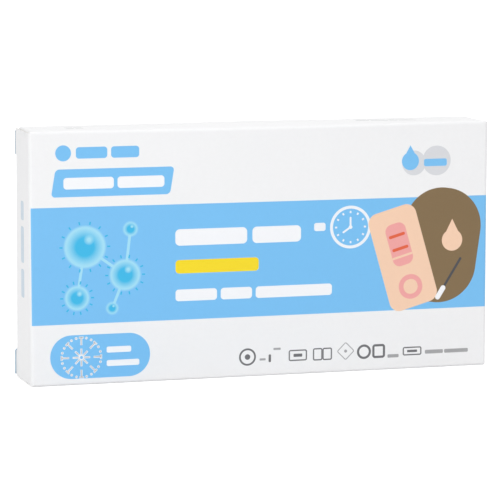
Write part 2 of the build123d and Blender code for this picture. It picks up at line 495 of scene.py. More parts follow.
@dataclass(frozen=True)
class Stroke:
    """A straight line with round ends."""

    x: float
    y: float
    length: float
    line: float
    turn: float = 0.0

    def cover(self, page: Page) -> Value:
        """Where the line covers the page."""
        half = (self.length / 2, 0.0, 0.0)
        return page.within(page.past_box((self.x, self.y, 0.0), half, self.turn), self.line / 2)


@dataclass(frozen=True)
class Spokes:
    """Arms round a centre, each from an inner to an outer radius, with a cap of its own width."""

    x: float
    y: float
    count: int
    inner: float
    outer: float
    line: float
    cap: float = 0.0

    def cover(self, page: Page) -> Value:
        """Where the arms cover the page.

        Args:
            page: The page to print on.

        Returns:
            1 on the shape and 0 off it.
        """
        along, left = page.fan(self.x, self.y, self.count)
        middle, half = (self.inner + self.outer) / 2, (self.outer - self.inner) / 2
        arm = page.within((abs(along - middle) - half).over(abs(left) - self.line / 2), 0.0)
        if not self.cap:
            return arm
        cap = (abs(along - self.outer) - self.line / 2).over(abs(left) - self.cap / 2)
        return arm.over(page.within(cap, 0.0))


@dataclass(frozen=True)
class Dots:
    """Small discs round a centre."""

    x: float
    y: float
    count: int
    ring_radius: float
    radius: float
    start: float = 0.0

    def cover(self, page: Page) -> Value:
        """Where the discs cover the page.

        Args:
            page: The page to print on.

        Returns:
            1 on the shape and 0 off it.
        """
        along, left = page.fan(self.x, self.y, self.count, self.start)
        away = along - self.ring_radius
        return page.within((away * away + left * left).math("SQRT"), self.radius)


@dataclass(frozen=True)
class Drop:
    """A drop with its point up."""

    x: float
    y: float
    radius: float
    height: float

    def cover(self, page: Page) -> Value:
        """Where the drop covers the page.

        Args:
            page: The page to print on.

        Returns:
            1 on the shape and 0 off it.
        """
        rise = (page.y - self.y).over(0.0)
        width = self.radius * (1.0 - rise / (self.height - self.radius))
        cone = (abs(page.x - self.x) - width).over(self.y - page.y)
        return page.within(page.distance(self.x, self.y), self.radius).over(page.within(cone, 0.0))


@dataclass(frozen=True)
class Layer:
    """Shapes printed in one ink."""

    ink: Ink
    shapes: tuple[Shape, ...]
    strength: float = 1.0

    def cover(self, page: Page) -> Value:
        """Where any of the shapes covers the page.

        Args:
            page: The page to print on.

        Returns:
            The ink's strength on the shapes and 0 off them.
        """
        covers = [shape.cover(page) for shape in self.shapes]
        whole = covers[0]
        for cover in covers[1:]:
            whole = whole.over(cover)
        return whole * self.strength if self.strength < 1 else whole


CAPTION_GAP = 1 / 3
CAPTION_CORNER = 0.28


def caption(left: float, middle: float, height: float, *ends: float) -> tuple[Bar, ...]:
    """A line of plain bars.

    Args:
        left: Where the line starts.
        middle: The middle of its height.
        height: The bars' height.
        ends: Where each bar ends. The next starts a third of a height further on.

    Returns:
        The bars.
    """
    bars = []
    for end in ends:
        low, high = middle - height / 2, middle + height / 2
        bars.append(Bar(left, low, end, high, corner=height * CAPTION_CORNER))
        left = end + height * CAPTION_GAP
    return tuple(bars)


@dataclass(frozen=True)
class FrontPrint:
    """What is printed on the front panel, in millimetres from its middle and its foot."""

    band: Bar = Bar(-75.0, 19.4, 75.8, 55.85, corner=0.15)
    band_top: Bar = Bar(-75.0, 40.0, 75.8, 56.05, corner=0.15, turn=-0.15)
    badge: Bar = Bar(-67.85, 59.4, -29.85, 68.1, corner=1.3, lean=0.17)
    pill: Bar = Bar(-69.35, 2.1, -37.3, 15.95, corner=6.85)
    holder_x: float = -59.4
    holder_z: float = 8.8
    holder_radius: float = 6.3
    holder_arms: int = 8
    holder_line: float = 0.62
    star_ends: tuple[float, float] = (0.5, 2.8)
    tick_length: float = 2.4
    tick_cap: float = 1.5
    dash_turns: tuple[float, ...] = (15.0, 30.0)
    dash_radius: float = 0.42
    dial_x: float = 28.8
    dial_z: float = 47.0
    dial_radius: float = 6.4
    cassette_x: float = 46.6
    cassette_z: float = 36.4
    cassette_turn: float = 16.0

    def layers(self) -> tuple[Layer, ...]:
        """All the layers, in the order that they are printed in."""
        return (
            Layer(Ink.SKY, (self.band, self.band_top, self.badge, self.pill)),
            *self.headings(),
            *self.holder_lines(),
            *self.linked_balls(),
            *self.dial(),
            *self.cassette_picture(),
            *self.count_mark(),
            *self.small_signs(),
        )

    def headings(self) -> tuple[Layer, ...]:
        """Plain bars on the band, the badge and the pill, and a disc and bars over the badge."""
        white = (
            *caption(-29.0, 45.6, 5.2, -5.6, 12.2),
            *caption(-29.0, 27.2, 3.7, -15.5, -4.0, 22.6),
            *caption(-64.6, 63.6, 3.6, -48.6, -32.4),
            *caption(-51.3, 10.9, 1.9, -43.4),
            *caption(-51.3, 6.6, 1.9, -40.8),
        )
        blue = (Disc(-64.6, 73.1, 2.5), *caption(-60.6, 73.1, 3.6, -50.6, -40.4))
        return (
            Layer(Ink.WHITE, white),
            Layer(Ink.YELLOW, caption(-29.0, 36.3, 4.3, -1.8)),
            Layer(Ink.SKY, blue),
        )

    def holder_lines(self) -> tuple[Layer, ...]:
        """White lines along the cuts of the tube holder."""
        ring = (self.holder_x, self.holder_z, self.holder_arms)
        radius, line = self.holder_radius, self.holder_line
        star = Spokes(*ring, *self.star_ends, line)
        ticks = Spokes(*ring, radius - self.tick_length, radius, line, self.tick_cap)
        dashes = tuple(Dots(*ring, radius, self.dash_radius, start) for start in self.dash_turns)
        return (Layer(Ink.WHITE, (star, ticks, *dashes)),)

    def linked_balls(self) -> tuple[Layer, ...]:
        """Linked balls on the left of the band, each with its place and radius."""
        balls = (
            (-58.0, 43.6, 6.6),
            (-45.2, 34.4, 4.9),
            (-60.6, 27.6, 3.9),
            (-43.4, 48.8, 2.3),
            (-49.4, 24.0, 1.9),
        )
        links = ((0, 1), (0, 2), (1, 3), (1, 4))
        pale, core, shine = [], [], []
        for first, second in links:
            (ax, ay, _), (bx, by, _) = balls[first], balls[second]
            turn = math.degrees(math.atan2(by - ay, bx - ax))
            length = math.hypot(bx - ax, by - ay)
            pale.append(Stroke((ax + bx) / 2, (ay + by) / 2, length, 0.9, turn))
        for x, y, r in balls:
            pale.append(Disc(x, y, r, edge=0.8))
            core.append(Disc(x, y, r * 0.66, edge=r * 0.45))
            shine.append(Disc(x + r * 0.2, y + r * 0.34, r * 0.17, edge=r * 0.2))
        studs = tuple(Spokes(x, y, 14, r + 0.5, r + 1.5, 0.45) for x, y, r in balls[:3])
        return (
            Layer(Ink.PALE_CYAN, tuple(pale), 0.85),
            Layer(Ink.CYAN, (*core, *studs), 0.9),
            Layer(Ink.PALE_CYAN, tuple(shine), 0.9),
        )

    def dial(self) -> tuple[Layer, ...]:
        """A plain clock dial and a short caption beside it."""
        x, z, radius = self.dial_x, self.dial_z, self.dial_radius
        rim = Ring(x, z, radius, 0.95)
        marks = Spokes(x, z, 12, radius - 1.9, radius - 1.2, 0.55)
        hands = (
            Stroke(x, z + 1.5, 3.0, 0.6, 90.0),
            Stroke(x - 1.2, z - 0.8, 2.9, 0.6, 34.0),
            Disc(x, z, 0.6),
        )
        label = caption(16.6, 47.4, 2.6, 20.4)
        return (Layer(Ink.WHITE, (rim, marks, *hands, *label), 0.95),)

    def cassette_picture(self) -> tuple[Layer, ...]:
        """A plain cassette on a dark rounded ground, with a drop and a swab."""
        ground = Bar(46.2, 21.4, 72.4, 58.8, 12.6, turn=-8.0)
        on_body = self.on_cassette
        return (
            Layer(Ink.BROWN, (ground,)),
            Layer(Ink.PEACH, (on_body(0.0, 16.6, 33.0, 3.4), Drop(63.4, 41.6, 3.5, 10.4))),
            Layer(Ink.PINK, (on_body(4.6, 7.0, 14.0, 2.4), on_body(-9.8, 8.0, 8.0, 3.9))),
            Layer(Ink.PEACH, (on_body(-9.8, 4.8, 4.8, 2.3), on_body(0.6, 7.0, 0.7, 0.3))),
            Layer(Ink.CORAL, (on_body(7.6, 5.6, 1.0, 0.45), on_body(3.2, 5.6, 1.0, 0.45))),
            Layer(Ink.DARK, (Stroke(63.0, 30.2, 12.4, 0.8, 58.0),)),
            Layer(Ink.WHITE, (Stroke(59.5, 24.6, 3.4, 1.7, 58.0),)),
        )

    def on_cassette(self, up: float, width: float, height: float, corner: float) -> Bar:
        """A bar on the tilted cassette's middle line.

        Args:
            up: How far its centre is above the cassette's, along the cassette.
            width: Its width.
            height: Its height.
            corner: The radius of its corners.

        Returns:
            The bar, turned as the cassette is.
        """
        tilt = math.radians(self.cassette_turn)
        x, z = self.cassette_x - up * math.sin(tilt), self.cassette_z + up * math.cos(tilt)
        left, bottom, right, top = x - width / 2, z - height / 2, x + width / 2, z + height / 2
        return Bar(left, bottom, right, top, corner, self.cassette_turn)

    def count_mark(self) -> tuple[Layer, ...]:
        """A drop over two pale discs, with a short bar."""
        return (
            Layer(Ink.GREY, (Disc(50.2, 67.0, 4.0), Disc(57.9, 67.6, 4.8))),
            Layer(Ink.SKY, (Drop(49.0, 67.6, 2.9, 8.0), *caption(53.6, 67.0, 2.4, 61.4))),
        )

    def small_signs(self) -> tuple[Layer, ...]:
        """The row of small plain signs along the foot."""
        dark = (
            Ring(-5.4, 6.4, 2.5, 0.6),
            Disc(-5.4, 6.4, 0.9),
            Bar(1.6, 4.4, 2.4, 6.9, 0.3),
            Outline(Bar(8.5, 4.6, 14.2, 7.8, 0.45), 0.42),
            Bar(9.9, 5.7, 12.8, 6.7, 0.2),
            Outline(Bar(16.6, 4.4, 19.4, 8.0, 0.45), 0.42),
            Outline(Bar(19.8, 4.4, 22.6, 8.0, 0.45), 0.42),
            Ring(33.6, 6.3, 2.0, 0.75),
            Outline(Bar(36.8, 4.4, 40.4, 8.2, 0.6), 0.75),
            Outline(Bar(47.0, 4.6, 53.0, 7.0, 0.45), 0.42),
            Bar(48.3, 5.4, 51.7, 6.2, 0.2),
        )
        fine = (
            Outline(Bar(25.4, 4.8, 29.4, 8.8, 0.45, turn=45.0), 0.3),
            Disc(27.4, 6.8, 0.5),
            *caption(-1.4, 5.4, 0.7, 0.6),
            *caption(3.2, 8.6, 0.7, 5.6),
            *caption(41.6, 4.5, 1.1, 45.4),
            *caption(54.4, 5.3, 1.25, 60.6, 69.2),
        )
        return (Layer(Ink.DARK, dark, 0.9), Layer(Ink.DARK, fine, 0.62))


def top_marks() -> tuple[Layer, ...]:
    """Pale stamped dashes on the top panel."""
    dashes: list[Bar] = []
    for row in (0.6, -2.6):
        dashes += caption(-62.0, row, 1.3, -59.4, -56.4)
        dashes += caption(33.0, row, 1.3, 37.6, 44.0, 47.2, 53.6)
    return (Layer(Ink.STAMP, tuple(dashes), 0.55),)


def end_marks() -> tuple[Layer, ...]:
    """Pale bars up the left end panel."""
    ends = ((27.0, 36.0), (38.0, 49.5), (51.5, 57.5))
    bars = tuple(Bar(-2.2, low, 2.2, high, 1.1) for low, high in ends)
    return (Layer(Ink.FAINT_BLUE, bars, 0.8),)


@dataclass(frozen=True)
class Board:
    """The carton's coated board: a smooth white coat, a plain inside and rough cut edges."""

    coat: Colour = (243, 243, 244)
    inside: Colour = (226, 224, 219)
    cut: Colour = (232, 230, 226)
    coat_roughness: float = 0.46
    ink_roughness: float = 0.36
    fine_mottle: float = 0.03
    broad_mottle: float = 0.024
    fibre_size: float = 0.35
    wave_size: float = 21.0
    wave_share: float = 9.0
    fibre_height: float = 0.006
    standing_corner_x: float = 75.3

    def coated(
        self, name: str, across: Axis, up: Axis, layers: Iterable[Layer] = ()
    ) -> bpy.types.Material:
        """The printed face of the board.

        Args:
            name: The material's name.
            across: The frame's axis across the print.
            up: The frame's axis up the print.
            layers: What is printed on it.

        Returns:
            The material.
        """
        graph = Graph.named(name)
        page = Page(graph, across, up)
        colour: object = linear_colour(self.coat)
        inked: Value | None = None
        for layer in layers:
            cover = layer.cover(page)
            colour = graph.mix(cover, colour, layer.ink.linear())
            inked = cover if inked is None else inked.over(cover)
        fine, broad = self.fine_mottle, self.broad_mottle
        mottle = graph.noise(1.1, 3.0) * fine + graph.noise(26.0, 1.0) * broad
        level = mottle + (1.0 - (fine + broad) / 2)
        roughness = graph.noise(3.0).between(self.coat_roughness - 0.03, self.coat_roughness + 0.03)
        if inked is not None:
            roughness = roughness - inked * (self.coat_roughness - self.ink_roughness)
        wave = graph.noise(self.wave_size, 0.0) * self.wave_share
        relief = graph.noise(self.fibre_size, 3.0) + wave
        return graph.surface(
            Base_Color=graph.scaled(colour, level),
            Roughness=roughness,
            Normal=graph.bump(relief, self.fibre_height),
            Specular_IOR_Level=0.42,
        )

    def rough(
        self, name: str, colour: Colour, relief: float, corner_ink_and_shade: float = 0.0
    ) -> bpy.types.Material:
        """An uncoated face of the board.

        Args:
            name: The material's name.
            colour: The board's colour, from 0 to 255.
            relief: How high its fibres stand, in millimetres.
            corner_ink_and_shade: How strongly blue tints the standing corners, partly the print's
                ink bleeding onto them and partly painted shade of the gap behind them.

        Returns:
            The material.
        """
        graph = Graph.named(name)
        tint: object = linear_colour(colour)
        # The standing corners take a pale blue: partly the print's ink bleeding onto them, partly
        # painted shade of the gap behind them.
        if corner_ink_and_shade:
            page = Page(graph, Axis.X, Axis.Z)
            corner = page.within(abs(page.x) * -1.0, -self.standing_corner_x)
            tint = graph.mix(corner * corner_ink_and_shade, tint, Ink.FAINT_BLUE.linear())
        flecks = graph.noise(0.5, 4.0, (2.5, 2.5, 1.0)).between(0.895, 1.055)
        return graph.surface(
            Base_Color=graph.scaled(tint, flecks + graph.noise(7.0) * 0.05),
            Roughness=graph.noise(0.6).between(0.72, 0.86),
            Normal=graph.bump(graph.noise(0.28, 4.0), relief),
        )


def placed(name: str, data: bpy.types.ID) -> bpy.types.Object:
    """Puts a new object with this data into the scene.

    Args:
        name: The object's name.
        data: Its mesh, camera or light.

    Returns:
        The object.
    """
    thing = bpy.data.objects.new(name, data)
    bpy.context.scene.collection.objects.link(thing)
    return thing


def finished(
    name: str,
    mesh: bmesh.types.BMesh,
    materials: Iterable[bpy.types.Material],
    sharp_degrees: float = 0.0,
) -> bpy.types.Object:
    """Turns an edited mesh into an object of the scene.

    Args:
        name: The object's name.
        mesh: The edited mesh, which is freed.
        materials: The object's materials.
        sharp_degrees: From which angle on an edge stays sharp. At 0 every face is flat.

    Returns:
        The object.
    """
    data = bpy.data.meshes.new(name)
    mesh.to_mesh(data)
    mesh.free()
    if sharp_degrees:
        data.shade_smooth()
        data.set_sharp_from_angle(angle=math.radians(sharp_degrees))
    for material in materials:
        data.materials.append(material)
    return placed(name, data)


@dataclass
class CadSkin:
    """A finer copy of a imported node, cut into a grid so that it can bend and take its finishes."""

    node: str
    body: str
    slot: str
    cuts: Mapping[Axis, Sequence[float]] = field(default_factory=dict)
    sharp_degrees: float = 35.0

    def copy_mesh(self, source: bpy.types.Object) -> bmesh.types.BMesh:
        """Copies the node's mesh and cuts it along the grid.

        Args:
            source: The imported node.

        Returns:
            The cut mesh, in metres.
        """
        mesh = bmesh.new()
        mesh.from_mesh(source.data)
        bmesh.ops.remove_doubles(mesh, verts=mesh.verts, dist=WELD_DISTANCE)
        for axis, places in self.cuts.items():
            normal = Vector((0.0, 0.0, 0.0))
            normal[axis.value] = 1.0
            for place in places:
                bmesh.ops.bisect_plane(
                    mesh,
                    geom=[*mesh.verts, *mesh.edges, *mesh.faces],
                    dist=CUT_TOLERANCE,
                    plane_co=normal * place * MM,
                    plane_no=normal,
                )
        bmesh.ops.remove_doubles(mesh, verts=mesh.verts, dist=WELD_DISTANCE)
        return mesh

    def shift(self, point: Vector) -> Vector:
        """How far a point of the skin moves from the node's own shape, in millimetres."""
        return Vector((0.0, 0.0, 0.0))

    def finish_place(self, centre: Vector, normal: Vector, thickness: float) -> int:
        """Chooses the material of a face.

        Args:
            centre: The face's centre, in millimetres.
            normal: The direction that it looks in.
            thickness: How thick the wall behind it is, in millimetres.

        Returns:
            The material's place among the skin's materials.
        """
        return 0

    def materials(self) -> Sequence[bpy.types.Material]:
        """The skin's materials."""
        raise NotImplementedError

    def build(self, nodes: Mapping[str, bpy.types.Object]) -> bpy.types.Object:
        """Builds the skin, gives it its materials and sets it on its body.

        Args:
            nodes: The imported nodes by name.

        Returns:
            The skin's object.
        """
        cut = self.copy_mesh(nodes[self.node])
        self.choose_finishes(cut)
        for vertex in cut.verts:
            vertex.co += self.shift(vertex.co / MM) * MM
        skin = finished(f"{self.node}_skin", cut, self.materials(), self.sharp_degrees)
        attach(skin, self.body)
        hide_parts(self.node)
        log.info("%s: %d faces", skin.name, len(skin.data.polygons))
        return skin

    def choose_finishes(self, mesh: bmesh.types.BMesh) -> None:
        """Gives each face its material by where it lies and how thick the wall behind it is.

        Args:
            mesh: The cut mesh, not yet bent.
        """
        mesh.normal_update()
        tree = BVHTree.FromBMesh(mesh)
        for face in mesh.faces:
            centre = face.calc_center_median()
            hit = tree.ray_cast(centre - face.normal * RAY_START, -face.normal)
            thickness = hit[3] / MM if hit[3] is not None else math.inf
            face.material_index = self.finish_place(centre / MM, face.normal, thickness)


def grid(low: float, high: float, step: float, *more: float) -> list[float]:
    """Evenly spaced cuts between two places, with more beside them."""
    count = max(1, round((high - low) / step))
    return sorted({*(low + (high - low) * i / count for i in range(1, count)), *more})


def dome(share: float) -> float:
    """A smooth swell over a span, 1 in its middle and 0 with no slope at its ends."""
    return math.cos(min(1.0, abs(share)) * math.pi / 2) ** 2


@dataclass(frozen=True)
class Folded:
    """The closed carton's own sizes in millimetres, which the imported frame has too."""

    length: float = 151.0
    depth: float = 21.0
    height: float = 80.0
    sheet: float = 0.45
    fold: float = 1.2

    @property
    def half_length(self) -> float:
        """The distance from the middle to an end."""
        return self.length / 2

    @property
    def half_depth(self) -> float:
        """The distance from the middle to the front."""
        return self.depth / 2


@dataclass
class BoardSkin(CadSkin):
    """A skin of the folded board."""

    slot: str = "printed_board"
    board: Board = field(default_factory=Board)
    size: Folded = Folded()
    cut_from: float = 2.3

    def is_cut(self, thickness: float) -> bool:
        """Whether a face is a cut edge, because more board lies behind it than one sheet."""
        return thickness > self.cut_from * self.size.sheet


class SleeveFace(IntEnum):
    """The sleeve's finishes, in the order of its materials."""

    FRONT = 0
    TOP = 1
    PLAIN = 2
    INSIDE = 3
    CUT = 4


@dataclass
class Sleeve(BoardSkin):
    """The long panels, the glue flap and the dust flaps, bowed as a filled carton is."""

    node: str = "carton_sleeve"
    body: str = "carton"
    steps: tuple[float, float, float] = (6.0, 2.6, 5.0)
    end_cut: float = 1.4
    panel_band: float = 1.5
    front_bow: float = 0.55
    back_bow: float = 0.4
    top_crown: float = 0.85
    front_sag: float = 0.35
    end_lean: tuple[float, float] = (-0.62, 0.013)
    lean_start: float = 60.0

    def __post_init__(self) -> None:
        """Places the cuts: an even grid, and close pairs beside the folds."""
        half, side, height = self.size.half_length, self.size.half_depth, self.size.height
        fold, end = self.size.fold, half - self.end_cut
        self.cuts = {
            Axis.X: grid(-half, half, self.steps[0], -end, end),
            Axis.Y: grid(-side, side, self.steps[1], fold - side, side - fold),
            Axis.Z: grid(0.0, height, self.steps[2], fold, height - fold),
        }

    def shift(self, point: Vector) -> Vector:
        """The bow of the panels away from the flat sheet, and the lean of the left end.

        Args:
            point: A point of the skin, in millimetres.

        Returns:
            How far the point moves, in millimetres.
        """
        half, side, height = self.size.half_length, self.size.half_depth, self.size.height
        along = dome(point.x / half)
        up = dome(point.z / (height / 2) - 1.0)
        moved = Vector((0.0, 0.0, 0.0))
        if point.y < -side + self.panel_band:
            moved.y -= self.front_bow * along * up
        elif point.y > side - self.panel_band:
            moved.y += self.back_bow * along * up
        if point.z > height - self.panel_band:
            moved.z += self.top_crown * along * dome(point.y / side)
            moved.z -= self.front_sag * along * max(0.0, -point.y / side) ** 3
        past_start = (-point.x - self.lean_start) / (half - self.lean_start)
        toward_end = min(1.0, max(0.0, past_start))
        foot, rise = self.end_lean
        moved.x += (foot + rise * point.z) * toward_end * (point.y + side) / self.size.depth
        return moved

    def finish_place(self, centre: Vector, normal: Vector, thickness: float) -> int:
        """Chooses between the coats of the panels, the inside and the cut edges.

        Args:
            centre: The face's centre, in millimetres.
            normal: The direction that it looks in.
            thickness: How thick the wall behind it is, in millimetres.

        Returns:
            The material's place among the skin's materials.
        """
        if self.is_cut(thickness) or abs(centre.x) > self.board.standing_corner_x:
            return SleeveFace.CUT
        outward = Vector((0.0, centre.y, centre.z - self.size.height / 2))
        if abs(normal.x) > 0.5:
            outward = Vector((centre.x, 0.0, 0.0))
        if normal.dot(outward) < 0:
            return SleeveFace.INSIDE
        if centre.y < 1.0 - self.size.half_depth and normal.y < -0.3:
            return SleeveFace.FRONT
        return SleeveFace.TOP if normal.z > 0.7 else SleeveFace.PLAIN

    def materials(self) -> Sequence[bpy.types.Material]:
        """The coats of the front, the top and the other panels, the inside and the cut edges."""
        return (
            self.board.coated("front_print", Axis.X, Axis.Z, FrontPrint().layers()),
            self.board.coated("top_print", Axis.X, Axis.Y, top_marks()),
            self.board.coated("plain_coat", Axis.X, Axis.Z),
            # The inside and the cut edges are tinted blue at the standing corners, partly print ink
            # and partly painted shade.
            self.board.rough("board_inside", self.board.inside, 0.03, corner_ink_and_shade=0.8),
            self.board.rough("board_edge", self.board.cut, 0.05, corner_ink_and_shade=0.8),
        )


class FlapFace(IntEnum):
    """An end flap's finishes, in the order of its materials."""

    COAT = 0
    INSIDE = 1
    CUT = 2


@dataclass
class EndFlap(BoardSkin):
    """An end panel with its tuck tab."""

    node: str = "left_tuck_flap"
    body: str = "left_flap"
    marks: tuple[Layer, ...] = ()
    heart_x: float = -70.0
    lean: tuple[float, float] = (-0.82, 0.0092)

    def __post_init__(self) -> None:
        """Places the cuts up the panel."""
        self.cuts = {Axis.Z: grid(0.0, self.size.height, 8.0), Axis.Y: grid(-9.0, 9.0, 3.0)}

    def shift(self, point: Vector) -> Vector:
        """The slight lean of the panel's back edge.

        Args:
            point: A point of the skin, in millimetres.

        Returns:
            How far the point moves, in millimetres.
        """
        foot, rise = self.lean
        away = max(0.0, point.y + self.size.half_depth - self.size.fold) / self.size.depth
        return Vector(((foot + rise * point.z) * away, 0.0, 0.0))

    def finish_place(self, centre: Vector, normal: Vector, thickness: float) -> int:
        """Chooses between the coat, the inside and the cut edges.

        Args:
            centre: The face's centre, in millimetres.
            normal: The direction that it looks in.
            thickness: How thick the wall behind it is, in millimetres.

        Returns:
            The material's place among the skin's materials.
        """
        if self.is_cut(thickness):
            return FlapFace.CUT
        outward = Vector((centre.x - self.heart_x, centre.y, 0.0))
        return FlapFace.COAT if normal.dot(outward) > 0 else FlapFace.INSIDE

    def materials(self) -> Sequence[bpy.types.Material]:
        """The end panel's coat, the inside and the cut edges."""
        return (
            self.board.coated(f"{self.node}_coat", Axis.Y, Axis.Z, self.marks),
            self.board.rough(f"{self.node}_inside", self.board.inside, 0.03),
            self.board.rough(f"{self.node}_edge", self.board.cut, 0.05),
        )


@dataclass
class Crease:
    """The rounded fold between the front panel and an end panel."""

    name: str
    flap: str
    side: float
    board: Board = field(default_factory=Board)
    size: Folded = Folded()
    gap: float = 0.12
    trim: float = 0.4
    middle: float = math.radians(-45)
    turns: int = 12
    rows: int = 26
    sharp_degrees: float = 40.0

    def build(self) -> bpy.types.Object:
        """Builds the strip that fills the split in the fold.

        Returns:
            The strip's object.
        """
        outer, half = self.size.fold, self.gap / 2 / self.size.fold
        mesh = bmesh.new()
        rings = []
        for row in range(self.rows + 1):
            z = self.trim + (self.size.height - 2 * self.trim) * row / self.rows
            for radius in (outer, outer - self.size.sheet):
                offsets = (half * (2 * turn / self.turns - 1) for turn in range(self.turns + 1))
                rings.append([mesh.verts.new(self.point(radius, o, z)) for o in offsets])
        self.close(mesh, rings)
        bmesh.ops.recalc_face_normals(mesh, faces=mesh.faces)
        coat = self.board.coated(f"{self.name}_coat", Axis.Y, Axis.Z)
        strip = finished(self.name, mesh, (coat,), self.sharp_degrees)
        start, end = (tuple(self.point(outer, o, self.size.height / 2)) for o in (-half, half))
        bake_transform(strip)
        log.info("%s: %d faces", strip.name, len(strip.data.polygons))
        return strip

    def point(self, radius: float, offset: float, z: float) -> Vector:
        """A point of the fold, in metres.

        Args:
            radius: Its distance from the fold's centre, in millimetres.
            offset: Its angle from the fold's middle, in radians.
            z: Its height, in millimetres.

        Returns:
            The point.
        """
        angle = self.middle + offset
        x = self.size.half_length - self.size.fold + radius * math.cos(angle)
        y = self.size.fold - self.size.half_depth + radius * math.sin(angle)
        return Vector((self.side * x, y, z)) * MM

    def close(self, mesh: bmesh.types.BMesh, rings: Sequence[Sequence[bmesh.types.BMVert]]) -> None:
        """Joins the rings of points into a closed strip.

        Args:
            mesh: The strip's mesh.
            rings: Outer and inner rows of points by turns, from the foot up.
        """
        last = self.turns
        for lower in range(0, len(rings) - 2, 2):
            outer, inner, next_outer, next_inner = rings[lower : lower + 4]
            for i in range(last):
                mesh.faces.new((outer[i], outer[i + 1], next_outer[i + 1], next_outer[i]))
                mesh.faces.new((inner[i + 1], inner[i], next_inner[i], next_inner[i + 1]))
            for i in (0, last):
                mesh.faces.new((outer[i], inner[i], next_inner[i], next_outer[i]))
        for outer, inner in (rings[0:2], rings[-2:]):
            for i in range(last):
                mesh.faces.new((outer[i], outer[i + 1], inner[i + 1], inner[i]))


@dataclass
class FoilPouch(CadSkin):
    """The sealed foil pouch, crinkled over what it holds."""

    node: str = "test_pouch"
    body: str = "carton"
    slot: str = "pouch_foil"
    half_length: float = 59.0
    half_height: float = 35.5
    centre_z: float = 35.95
    step: float = 2.2
    sheet_y: float = 7.05
    cassette_rise: float = 2.9
    seal: float = 7.0
    fade: float = 12.0
    crinkle: float = 0.32
    sharp_degrees: float = 60.0
    foil: Colour = (206, 208, 212)

    def __post_init__(self) -> None:
        """Places a fine grid over the pouch."""
        low, high = self.centre_z - self.half_height, self.centre_z + self.half_height
        across = grid(-self.half_length, self.half_length, self.step)
        self.cuts = {Axis.X: across, Axis.Z: grid(low, high, self.step)}

    def shift(self, point: Vector) -> Vector:
        """The crinkles of the foil, which fade towards its edges and over the stiff cassette.

        Args:
            point: A point of the skin, in millimetres.

        Returns:
            How far the point moves, in millimetres.
        """
        to_end = self.half_length - abs(point.x)
        to_side = self.half_height - abs(point.z - self.centre_z)
        edge = min(1.0, to_end / self.fade, to_side / self.fade)
        swell = min(1.0, abs(point.y - self.sheet_y) / self.cassette_rise)
        place = Vector((point.x * 0.09, 0.0, point.z * 0.13))
        fold = noise.noise(place) + 0.5 * noise.noise(place * 2.7)
        return Vector((0.0, self.crinkle * fold * (0.35 + 0.65 * edge) * (1.0 - 0.8 * swell), 0.0))

    def materials(self) -> Sequence[bpy.types.Material]:
        """Satin foil with a sealed border pressed into fine lines."""
        graph = Graph.named("pouch_foil")
        page = Page(graph, Axis.X, Axis.Z)
        half = (self.half_length - self.seal, self.half_height - self.seal, 0.0)
        inner = page.within(page.past_box((0.0, self.centre_z, 0.0), half), 0.5, 0.6)
        lines = ((page.x + page.y) * 3.2).math("SINE")
        creases = graph.noise(4.0, 6.0).math("SMOOTH_MAX", 0.5, 0.1)
        relief = creases * 2.4 * inner + lines * 0.25 * (1.0 - inner) + graph.noise(0.6, 2.0) * 0.15
        tone = graph.noise(9.0, 4.0).between(0.92, 1.04)
        return (
            graph.surface(
                Base_Color=graph.scaled(linear_colour(self.foil), tone),
                Metallic=0.88,
                Roughness=graph.noise(2.4, 3.0).between(0.24, 0.46),
                Normal=graph.bump(relief, 0.14),
            ),
        )


@dataclass
class PeelPack(CadSkin):
    """The swab's peel pack, with the swab's form showing through its film."""

    node: str = "swab_pack"
    body: str = "carton"
    slot: str = "peel_pack"
    half_length: float = 70.0
    half_width: float = 9.5
    steps: tuple[float, float] = (2.5, 1.9)
    ripple: float = 0.12
    sharp_degrees: float = 50.0
    window: Point = (62.0, 5.2, 0.0)
    shaft: Point = (54.4, 0.0, 0.0)
    tip_x: float = -47.5
    tip: Point = (6.2, 0.0, 0.0)
    paper: Colour = (236, 240, 244)
    film: Colour = (214, 222, 228)
    shaft_white: Colour = (240, 243, 246)
    tip_white: Colour = (250, 249, 245)

    def __post_init__(self) -> None:
        """Places a grid along and across the pack."""
        along = grid(-self.half_length, self.half_length, self.steps[0])
        self.cuts = {Axis.X: along, Axis.Y: grid(-self.half_width, self.half_width, self.steps[1])}

    def shift(self, point: Vector) -> Vector:
        """The pack's soft ripples, upward only, so that it stays on what carries it.

        Args:
            point: A point of the skin, in millimetres.

        Returns:
            How far the point moves, in millimetres.
        """
        to_end, to_side = self.half_length - abs(point.x), self.half_width - abs(point.y)
        edge = min(1.0, to_end / 6.0, to_side / 2.0)
        wave = noise.noise(Vector((point.x * 0.11, point.y * 0.3, 4.0))) + 0.4
        return Vector((0.0, 0.0, self.ripple * max(0.0, wave) * max(0.0, edge)))

    def materials(self) -> Sequence[bpy.types.Material]:
        """Paper with a film, sealed round a clear middle where the swab's shaft and tip show."""
        graph = Graph.named("peel_pack")
        page = Page(graph, Axis.X, Axis.Y)
        window = page.within(page.past_box((0.0, 0.0, 0.0), self.window), 1.2, 0.5)
        shaft = page.within(page.past_box((0.0, 0.0, 0.0), self.shaft), 1.5, 0.4)
        tip = page.within(page.past_box((self.tip_x, 0.0, 0.0), self.tip), 2.2, 0.5)
        colour: object = linear_colour(self.paper)
        inked = ((window, self.film), (shaft, self.shaft_white), (tip, self.tip_white))
        for cover, tint in inked:
            colour = graph.mix(cover, colour, linear_colour(tint))
        seal = (page.x * 5.0).math("SINE") * (page.y * 5.0).math("SINE")
        relief = seal * 0.3 * (1.0 - window) + graph.noise(2.0, 3.0) * 0.6
        relief += tip * graph.noise(0.3) * 0.8
        return (
            graph.surface(
                Base_Color=graph.scaled(colour, graph.noise(3.0).between(0.96, 1.02)),
                Roughness=0.5 - window * 0.26 + graph.noise(1.5) * 0.08,
                Coat_Weight=window * 0.5,
                Normal=graph.bump(relief, 0.05),
            ),
        )


